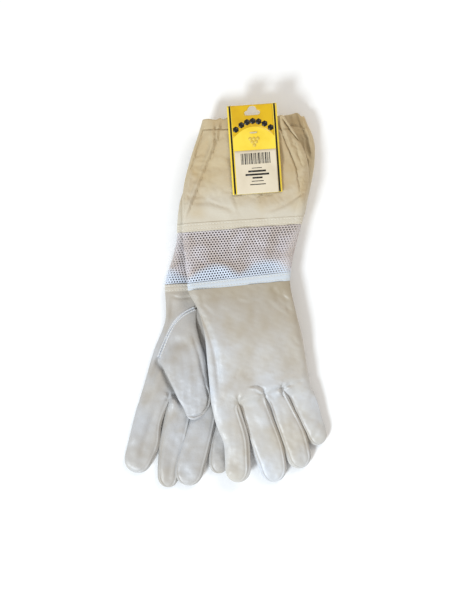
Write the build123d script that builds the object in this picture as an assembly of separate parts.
"""A pair of beekeeping gloves with a hang card, laid flat as a stacked pair.

The right glove lies palm up on the surface, with its thumb folded over its palm. The left glove
lies on it, back of the hand up, with its own thumb folded flat between the two. Each glove is a
flattened tube: a canvas gauntlet sleeve with an elastic in its casing, a mesh band, a leather
binding, a leather hand, and leather fingers that bend up at their hinges.

Frame: the origin is the middle of the pair's footprint, on the surface. +Y points to the cuffs,
-Y to the fingertips, +X to the little finger of the left glove, and +Z is up. Millimetres.
"""
from build123d import *
import os
from math import atan2, degrees
from typing import NamedTuple

# Materials' thicknesses
CANVAS = 1.0
ELASTIC = 1.0
NET = 1.0
LEATHER = 1.2
LAYER_GAP = 0.1

# Depths of the flattened pieces
FINGER_DEPTH = 9.0
LITTLE_DEPTH = 8.0
THUMB_DEPTH = 7.0
FLAT_THUMB_DEPTH = 3.0
SIDEWALL_SHARE = 0.4          # of a finger's depth, in its middle
BEVEL = 2.0                   # of a tube's four long edges
FLAT_THUMB_TIP_DEPTH = 2.4
FLAT_THUMB_BEVEL = 0.6
BEVEL_LIMIT = 0.3             # a bevel's largest share of a section's depth
HINGE_GAP = 0.4               # between a finger and what it hinges on
FINGER_CLEARANCE = 4.0        # cut from the hand on each side of a finger's base
STRIP_END = 0.93              # of a finger's length, where its sidewall strips end
# A finger's sides: shares of its length, and of its half width from the base's (0) to the middle's (1)
LOWER_SIDE = (0.28, 0.5)
UPPER_SIDE = (0.6, 1.0)
TIP_SIDE = (0.91, 0.66)       # a share of the length, and of the middle's half width

# Card and tack
CARD_WIDTH = 54.0
CARD_LENGTH = 96.3
CARD_THICKNESS = 0.6
CARD_CORNER = 1.5
CARD_FOOT = (34.9, 111.8)     # middle of its lower edge
CARD_TURN = 4.0               # degrees, anticlockwise
CARD_HEIGHT = 24.9
LABEL_WIDTH = 45.0
LABEL_LENGTH = 47.0
LABEL_THICKNESS = 0.3
LABEL_OFFSET = 0.5            # from the card's middle, to the right
HOLE_TO_FOOT = 87.5           # from the card's lower edge to the hang hole's slot
HOLE_SLOT_LENGTH = 17.0
HOLE_SLOT_WIDTH = 5.0
HOLE_BUMP_RADIUS = 5.0
HOLE_BUMP_RISE = 2.5
TACK_TO_FOOT = 66.0
TACK_RADIUS = 0.45
TACK_HOLE_RADIUS = 0.8
TACK_BAR_LENGTH = 8.0
TACK_BAR_RADIUS = 0.6
TACK_FOOT_HEIGHT = 18.0
TACK_STEM_OVERLAP = 0.2       # of the stem into the bar on the card's face


class Station(NamedTuple):
    """A cross-section of a flattened tube: its edges in plan, their lowest heights, its depth."""
    left: tuple
    right: tuple
    z_left: float
    z_right: float
    depth: float


class Finger(NamedTuple):
    """A finger stall: its base and tip in plan, widths, height and depth, and its droop in degrees.

    seams says which sides have a sidewall strip: -1 for the right side, looking along the finger
    from its base with the glove below, and 1 for the left. root is the length that stays with the
    hand, before the hinge.
    """
    base: tuple
    tip: tuple
    base_width: float
    mid_width: float
    height: float
    depth: float
    droop: float
    seams: tuple
    root: float = 0.0


RIGHT_GLOVE = {
    "cuff": Station((-19, 189), (86, 195), 0.5, 0.5, 11.5),
    "casing_foot": Station((-23, 177), (93, 182), 0, 0, 12),
    "bulge": Station((-38, 130), (97.4, 145), 0, 0, 12),
    "narrow": Station((-50, 103), (89.5, 104), 0, 0, 12),
    "hem_top": Station((-53, 79), (85, 86), 0, 0, 11.5),
    "hem_foot": Station((-53.3, 70), (80, 77), 0, 0, 11),
    "net_foot": Station((-66.6, 13), (48, 19), 0, 0, 10),
    "binding_foot": Station((-66.3, 5), (47, 11), 0, 0, 10),
    "heel": Station((-66, -30), (40, -26), 0, 0, 10),
    "palm": Station((-79, -60.5), (31, -58), 0, 0, 10),
    "knuckles": Station((-97, -124), (16, -118), 0, 0, 10),
}
LEFT_GLOVE = {
    "cuff": Station((-25, 192), (64, 196), 12.8, 12.8, 11.5),
    "casing_foot": Station((-28.5, 180), (74, 181), 12.5, 12.5, 12),
    "bulge": Station((-38.5, 149), (88.5, 150), 12.5, 12.5, 12),
    "narrow": Station((-46.5, 112), (89.5, 112), 12.5, 12.5, 12),
    "hem_top": Station((-47, 79), (84, 84), 12.5, 12.5, 12),
    "hem_foot": Station((-47.3, 69.5), (81, 75.5), 12.5, 12, 11),
    "net_foot": Station((-41.8, 14), (71.5, 27), 13, 10.6, 10),
    "binding_foot": Station((-40.7, 6.5), (70.5, 17.5), 14, 9.8, 10),
    "heel": Station((-31, -12), (75, -9), 16, 8.8, 10),
    "palm": Station((-25, -41), (83.4, -42), 18, 6, 10),
    "metacarpals": Station((-20, -75), (89, -75), 18.5, 4, 10),
    "knuckles": Station((-15, -126), (100, -120), 16, 2, 10),
}
LEFT_THUMB = [
    Station((-22, -34), (-2, -34), 13.6, 11.2, FLAT_THUMB_DEPTH),
    Station((-18.3, -75), (5, -75), 14.4, 11.2, FLAT_THUMB_DEPTH),
    Station((-14.5, -106), (4, -108), 12.6, 10.5, FLAT_THUMB_TIP_DEPTH),
]
# The right thumb's outline on the palm: its straight hinge side, then round the tip.
RIGHT_THUMB_HINGE = [(-34, -17), (-73, -67)]
RIGHT_THUMB_SIDES = [(-56, -102), (-47, -126), (-33, -133), (-20.5, -126), (-19.5, -100), (-26, -48)]
RIGHT_THUMB_ROUNDING = 4.0
RIGHT_THUMB_MOUTH_INSET = 8.0
RIGHT_THUMB_HEIGHT = 10.4

RIGHT_FINGERS = {
    "index": Finger((-79, -119), (-101.8, -192.5), 30, 31, 0, FINGER_DEPTH, 0, (1,)),
    "middle": Finger((-48.5, -115), (-65.5, -209.6), 25.5, 22.5, 0, FINGER_DEPTH, 0, (-1, 1), 24),
    "ring": Finger((-21, -113), (-41, -206.6), 23.5, 25, 0, FINGER_DEPTH, 0, (-1, 1), 25),
    "little": Finger((6, -113), (-9, -193.6), 20, 21, 0, LITTLE_DEPTH, 0, (-1,)),
}
LEFT_FINGERS = {
    "index": Finger((-0.5, -115), (13.8, -202.8), 26.5, 28, 14.2, FINGER_DEPTH, 4, (1,)),
    "middle": Finger((28.3, -110.5), (52.3, -203.4), 27, 28, 10.8, FINGER_DEPTH, 5.5, (-1, 1)),
    "ring": Finger((54.5, -104.5), (85, -188), 21.5, 25, 8.2, FINGER_DEPTH, 4.2, (-1, 1)),
    "little": Finger((80.5, -98.5), (105, -162.8), 23.5, 24, 5.2, LITTLE_DEPTH, 3, (-1,)),
}

FAR = 400.0                   # past every piece, for cutting blocks


def section(station, inset=0.0, bevel=BEVEL):
    """The bevelled cross-section of a tube at a station, drawn in by an inset."""
    left = Vector(*station.left, station.z_left)
    across = Vector(*station.right, station.z_right) - left
    width = Vector(across.X, across.Y).length
    near, far = inset, width - inset
    low, high = inset, station.depth - inset
    bevel = min(bevel, BEVEL_LIMIT * (high - low))
    corners = [
        (near + bevel, low), (far - bevel, low), (far, low + bevel), (far, high - bevel),
        (far - bevel, high), (near + bevel, high), (near, high - bevel), (near, low + bevel),
    ]
    points = [left + across * (s / width) + Vector(0, 0, h) for s, h in corners]
    return Face(Wire.make_polygon(points))


def tube(stations, wall, inset=0.0):
    """A flattened tube through the stations, open at both ends."""
    outer = loft([section(s, inset) for s in stations], ruled=True)
    inner = loft([section(s, inset + wall) for s in stations], ruled=True)
    return outer - inner


def below_middle(stations):
    """A block that fills everything under the middle of a tube."""
    overhang = 20.0
    faces = []
    for station in stations:
        left = Vector(*station.left, station.z_left + station.depth / 2)
        right = Vector(*station.right, station.z_right + station.depth / 2)
        out = (right - left).normalized() * overhang
        down = Vector(0, 0, -overhang)
        corners = [left - out, right + out, right + out + down, left - out + down]
        faces.append(Face(Wire.make_polygon(corners)))
    return loft(faces, ruled=True)


def finger_place(finger):
    """The frame of a finger: X along it from its base, Y to its left, Z up."""
    run = Vector(*finger.tip) - Vector(*finger.base)
    yaw = degrees(atan2(run.Y, run.X))
    place = Location((*finger.base, finger.height)) * Rotation(0, 0, yaw)
    return place * Rotation(0, finger.droop, 0)


def finger_length(finger):
    """From a finger's base to its tip."""
    return (Vector(*finger.tip) - Vector(*finger.base)).length


def finger_outline(length, base_width, mid_width, start):
    """A finger's plan: a straight base, gently bowed sides and a round tip."""
    base, mid = base_width / 2, mid_width / 2
    side = [(start, base)]
    side += [(along * length, base + share * (mid - base)) for along, share in (LOWER_SIDE, UPPER_SIDE)]
    side += [(TIP_SIDE[0] * length, TIP_SIDE[1] * mid)]
    points = side + [(length, 0)] + [(x, -y) for x, y in reversed(side)]
    return make_face(Spline(*points) + Line(points[-1], points[0]))


def block(x_range, y_range, z_range=(-FAR, FAR)):
    """A box between three pairs of limits."""
    sizes = [high - low for low, high in (x_range, y_range, z_range)]
    middle = [(high + low) / 2 for low, high in (x_range, y_range, z_range)]
    return Pos(*middle) * Box(*sizes)


def layer(face, low, high):
    """A face in the XY plane made solid between two heights."""
    return Pos(0, 0, low) * extrude(face, amount=high - low, dir=(0, 0, 1))


def finger_pieces(finger):
    """A finger's lower shell, middle band and upper shell in its own frame, before any cut."""
    length = finger_length(finger)
    outer = finger_outline(length, finger.base_width, finger.mid_width, HINGE_GAP)
    wall = 2 * LEATHER
    inner = finger_outline(
        length - LEATHER, finger.base_width - wall, finger.mid_width - wall, -LEATHER)
    band_low = finger.depth * (1 - SIDEWALL_SHARE) / 2
    band_high = finger.depth - band_low
    lower = layer(outer, 0, band_low) - layer(inner, LEATHER, band_low)
    band = layer(outer, band_low, band_high) - layer(inner, band_low, band_high)
    upper = layer(outer, band_high, finger.depth) - layer(inner, band_high, finger.depth - LEATHER)
    return lower, band, upper


def finger_nodes(hand, name, finger, back_up):
    """A finger stall: its back, its front, and the sidewall strips between them."""
    lower, band, upper = finger_pieces(finger)
    strip_end = STRIP_END * finger_length(finger)
    strips = [band & block((-1, strip_end), sorted((0, side * FAR))) for side in finger.seams]
    for strip in strips:
        band = band - strip
    back, front = (upper + band, lower) if back_up else (lower + band, upper)
    pieces = {"back": back, "front": front, "sidewalls": Compound(children=strips)}
    nodes = {}
    if finger.root:
        stub = block((-1, finger.root), (-FAR, FAR))
        moving = block((finger.root + HINGE_GAP, FAR), (-FAR, FAR))
        whole = Pos(-HINGE_GAP, 0, 0) * (lower + upper + band) + Compound(children=strips)
        nodes[f"{hand}_{name}_finger_root"] = (whole & stub).clean()
        pieces = {part: Compound(children=[s & moving for s in piece.solids()])
                  for part, piece in pieces.items()}
    for part, piece in pieces.items():
        nodes[f"{hand}_{name}_finger_{part}"] = piece
    return {node: finger_place(finger) * piece for node, piece in nodes.items()}


def hand_nodes(hand, stations, fingers, back_up):
    """The leather hand: a back panel and a palm panel that meet at mid-depth, open at both ends."""
    shell = tube(stations, LEATHER)
    for finger in fingers.values():
        reach = finger.base_width / 2 + FINGER_CLEARANCE
        shell = shell - finger_place(finger) * block((0, FAR), (-reach, reach))
    shell = max(shell.solids(), key=lambda solid: solid.volume)
    under = below_middle(stations)
    lower, upper = shell & under, shell - under
    back, palm = (upper, lower) if back_up else (lower, upper)
    return {f"{hand}_back_panel": back, f"{hand}_palm_panel": palm}


def cuff_nodes(hand, glove):
    """The gauntlet: sleeve, elastic in its casing, hem band, net band and leather binding."""
    def span(first, last):
        names = list(glove)
        return [glove[n] for n in names[names.index(first):names.index(last) + 1]]

    casing = span("cuff", "casing_foot")
    elastic_inset = CANVAS + LAYER_GAP
    facing_inset = elastic_inset + ELASTIC + LAYER_GAP
    return {
        f"{hand}_gauntlet_sleeve": tube(span("cuff", "hem_top"), CANVAS),
        f"{hand}_cuff_elastic": tube(casing, ELASTIC, elastic_inset),
        f"{hand}_casing_facing": tube(casing, CANVAS, facing_inset),
        f"{hand}_sleeve_hem": tube(span("hem_top", "hem_foot"), CANVAS),
        f"{hand}_mesh_band": tube(span("hem_foot", "net_foot"), NET),
        f"{hand}_wrist_binding": tube(span("net_foot", "binding_foot"), LEATHER),
    }


def hand_stations(glove):
    """The stations of the leather hand, from the binding on."""
    names = list(glove)
    return [glove[n] for n in names[names.index("binding_foot"):]]


def right_thumb_nodes():
    """The right thumb, folded over the palm: two leather shells, open along the hinge side."""
    outer = make_face(Polyline(*RIGHT_THUMB_HINGE, *RIGHT_THUMB_SIDES, close=True))
    outer = fillet(outer.vertices(), RIGHT_THUMB_ROUNDING)
    start, end = (Vector(*p) for p in RIGHT_THUMB_HINGE)
    along = (end - start).normalized() * RIGHT_THUMB_MOUTH_INSET
    inward = Vector(-along.Y, along.X) / 2
    mouth = [start + along - inward, end - along - inward, end - along + inward, start + along + inward]
    inner = offset(outer, amount=-LEATHER) + make_face(Polyline(*mouth, close=True))
    half = THUMB_DEPTH / 2
    lower = layer(outer, 0, half) - layer(inner, LEATHER, half)
    upper = layer(outer, half, THUMB_DEPTH) - layer(inner, half, THUMB_DEPTH - LEATHER)
    lift = Pos(0, 0, RIGHT_THUMB_HEIGHT)
    return {"right_thumb_inner": lift * lower, "right_thumb_outer": lift * upper}


def left_thumb_nodes():
    """The left thumb, pressed flat under its own palm: two leather layers."""
    whole = loft([section(s, bevel=FLAT_THUMB_BEVEL) for s in LEFT_THUMB], ruled=True)
    under = below_middle(LEFT_THUMB)
    return {"left_thumb_inner": whole & under, "left_thumb_outer": whole - under}


def card_place():
    """The card's frame: X across it, Y up it from the middle of its lower edge, Z out of its face."""
    return Location((*CARD_FOOT, CARD_HEIGHT)) * Rotation(0, 0, CARD_TURN)


def card_nodes():
    """The hang card with its hanging hole, its label, and the plastic tack it swings on."""
    sheet = RectangleRounded(CARD_WIDTH, CARD_LENGTH, CARD_CORNER)
    sheet = Pos(0, CARD_LENGTH / 2) * sheet
    slot = SlotOverall(HOLE_SLOT_LENGTH, HOLE_SLOT_WIDTH)
    hole = slot + Pos(0, HOLE_BUMP_RISE) * Circle(HOLE_BUMP_RADIUS)
    sheet = sheet - Pos(0, HOLE_TO_FOOT) * hole
    card = layer(sheet, 0, CARD_THICKNESS)
    card = card - Pos(0, TACK_TO_FOOT) * Cylinder(TACK_RADIUS, TACK_BAR_LENGTH)
    label_sheet = Pos(LABEL_OFFSET, LABEL_LENGTH / 2) * Rectangle(LABEL_WIDTH, LABEL_LENGTH)
    label = layer(label_sheet, CARD_THICKNESS, CARD_THICKNESS + LABEL_THICKNESS)
    place = card_place()
    return {"hang_card": place * card, "card_label": place * label, "card_tack": place * tack()}


def tack():
    """A T-bar pin: a bar on the card's face, a stem through the card, and a bar inside the cuff."""
    top = CARD_THICKNESS
    foot = TACK_FOOT_HEIGHT - CARD_HEIGHT
    standing = (Align.CENTER, Align.CENTER, Align.MIN)
    stem = Pos(0, 0, foot) * Cylinder(TACK_RADIUS, top - foot + TACK_STEM_OVERLAP, align=standing)
    bar = Rot(0, 90, 0) * Cylinder(TACK_BAR_RADIUS, TACK_BAR_LENGTH)
    head = Pos(0, 0, top) * (bar & block((-FAR, FAR), (-FAR, FAR), (0, FAR)))
    foot_bar = Pos(0, 0, foot) * bar
    return Pos(0, TACK_TO_FOOT) * (stem + head + foot_bar)


def glove_nodes(hand, glove, fingers, back_up):
    """One glove's nodes, without its thumb's."""
    nodes = cuff_nodes(hand, glove)
    nodes.update(hand_nodes(hand, hand_stations(glove), fingers, back_up))
    for name, finger in fingers.items():
        nodes.update(finger_nodes(hand, name, finger, back_up))
    return nodes


def build():
    """Every node of the pair, by name."""
    nodes = glove_nodes("right", RIGHT_GLOVE, RIGHT_FINGERS, back_up=False)
    nodes.update(right_thumb_nodes())
    nodes.update(glove_nodes("left", LEFT_GLOVE, LEFT_FINGERS, back_up=True))
    nodes.update(left_thumb_nodes())
    nodes.update(card_nodes())
    tack_hole = card_place() * Pos(0, TACK_TO_FOOT) * Cylinder(TACK_HOLE_RADIUS, TACK_BAR_LENGTH)
    nodes["left_gauntlet_sleeve"] = nodes["left_gauntlet_sleeve"] - tack_hole
    return nodes


def main():
    """Writes one STEP file for each node."""
    os.makedirs("parts", exist_ok=True)
    for name, piece in build().items():
        solids = Compound(children=list(piece.solids()))
        export_step(solids, f"parts/{name}.step")


main()
